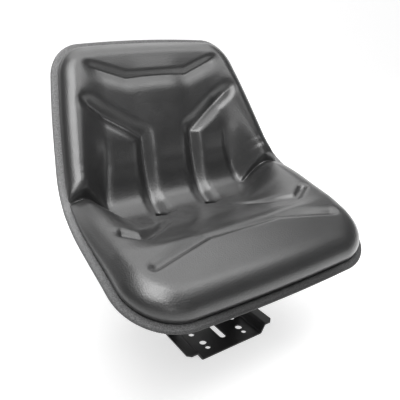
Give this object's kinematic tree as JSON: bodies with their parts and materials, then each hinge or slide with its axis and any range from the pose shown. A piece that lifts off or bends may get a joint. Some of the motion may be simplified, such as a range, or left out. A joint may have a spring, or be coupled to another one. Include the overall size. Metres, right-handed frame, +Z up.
{
  "type": "tractor seat",
  "caption": "Bucket tractor seat with a moulded black cushion in a pressed pan, grained edge trim, folded riser and a slotted base plate that bolts to the machine.",
  "frame": {"origin": "centre of the base plate's underside", "axes": "+Z up, the sitter faces -Y, X across the seat"},
  "size_m": [0.4784, 0.4349, 0.515],
  "materials": {
    "vinyl": "fine-grained black vinyl with a soft sheen",
    "trim": "grained, matt",
    "pan_paint": "black, satin",
    "frame_paint": "black, satin",
    "zinc": "zinc-plated"
  },
  "bodies": {
    "root": {"cushion": "vinyl", "edge_trim": "trim", "seat_pan": "pan_paint", "base_plate": "frame_paint", "seat_riser": "frame_paint", "weld_nuts": "zinc", "pan_washers": "zinc", "pan_bolts": "zinc", "foot_nuts": "zinc", "foot_washers": "zinc", "foot_bolts": "zinc"}
  },
  "joints": []
}
